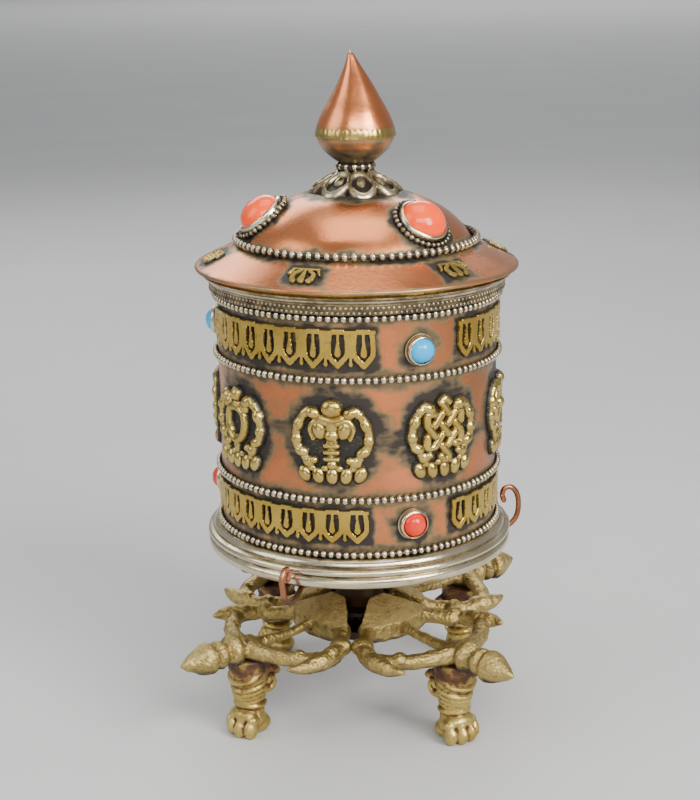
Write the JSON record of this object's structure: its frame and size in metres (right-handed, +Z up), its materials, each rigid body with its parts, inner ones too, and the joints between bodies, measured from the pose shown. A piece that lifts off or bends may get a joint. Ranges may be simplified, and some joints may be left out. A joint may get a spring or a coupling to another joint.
{
  "type": "tabletop prayer wheel",
  "caption": "Copper tabletop prayer wheel: a banded drum that spins on a spindle over a crossed four-armed stand on paw feet, with a lift-off domed lid.",
  "frame": {"origin": "on the table surface, on the drum's axis", "axes": "+Z up along the drum's axis, -Y towards the front gap between two arms of the stand"},
  "size_m": [0.0862, 0.0858, 0.1749],
  "materials": {
    "copper": "satin, hand-beaten copper sheet with brown patina",
    "copper_wire": "satin copper wire",
    "brass": "satin sheet brass",
    "relief_brass": "cast relief with dark patina in the recesses",
    "cast_brass": "sand-cast, grainy satin",
    "leg_brass": "cast, with red-brown patina",
    "dark_bronze": "dark patina",
    "white_metal": "pale warm white metal, satin",
    "steel": "turned",
    "turquoise": "polished",
    "red_coral": "polished",
    "orange_coral": "polished",
    "paper": "tightly rolled",
    "cotton_tape": "woven tape"
  },
  "bodies": {
    "stand": {"arm_rivets": "cast_brass", "column": "dark_bronze", "hub_plate": "dark_bronze", "lion_leg_front_left": "leg_brass", "lion_leg_front_right": "leg_brass", "lion_leg_rear_left": "leg_brass", "lion_leg_rear_right": "leg_brass", "spindle": "steel", "spindle_nut": "steel", "thrust_washer": "steel", "vajra_arm_front_left": "cast_brass", "vajra_arm_front_right": "cast_brass", "vajra_arm_rear_left": "cast_brass", "vajra_arm_rear_right": "cast_brass"},
    "drum": {"base_moulding": "white_metal", "bead_wire_base": "white_metal", "bead_wire_lower": "white_metal", "bead_wire_top": "white_metal", "bead_wire_upper": "white_metal", "coral_bezels": "white_metal", "coral_stones": "red_coral", "core_tube": "brass", "drum_floor": "brass", "drum_wall": "copper", "emblem_banner": "relief_brass", "emblem_conch": "relief_brass", "emblem_fishes": "relief_brass", "emblem_knot": "relief_brass", "emblem_lotus": "relief_brass", "emblem_parasol": "relief_brass", "emblem_vase": "relief_brass", "emblem_wheel": "relief_brass", "finger_hooks": "copper_wire", "floor_bush": "brass", "frieze_lower_front_left": "brass", "frieze_lower_rear_left": "brass", "frieze_lower_right": "brass", "frieze_upper_front_left": "brass", "frieze_upper_rear_left": "brass", "frieze_upper_right": "brass", "mantra_roll": "paper", "pivot_cap": "brass", "roll_ties": "cotton_tape", "top_moulding": "white_metal", "turquoise_bezels": "white_metal", "turquoise_stones": "turquoise"},
    "lid": {"bezel_bead_rings": "white_metal", "brim_ornaments": "brass", "dome_bead_wire": "white_metal", "dome_bezels": "white_metal", "dome_corals": "orange_coral", "finial_band": "relief_brass", "finial_cone": "copper", "finial_cup": "copper", "finial_nut": "steel", "finial_stem": "white_metal", "lid_brim": "copper", "lid_collar": "brass", "lid_dome": "copper", "lotus_rosette": "white_metal"}
  },
  "joints": [
    {"name": "drum_spin", "type": "hinge", "parent": "stand", "child": "drum", "pos_m": [0, 0, 0.0478], "axis": [0, 0, 1], "continuous": true},
    {"name": "lid_lift", "type": "slide", "parent": "drum", "child": "lid", "axis": [0, 0, 1], "range_m": [0, 0.06]}
  ]
}
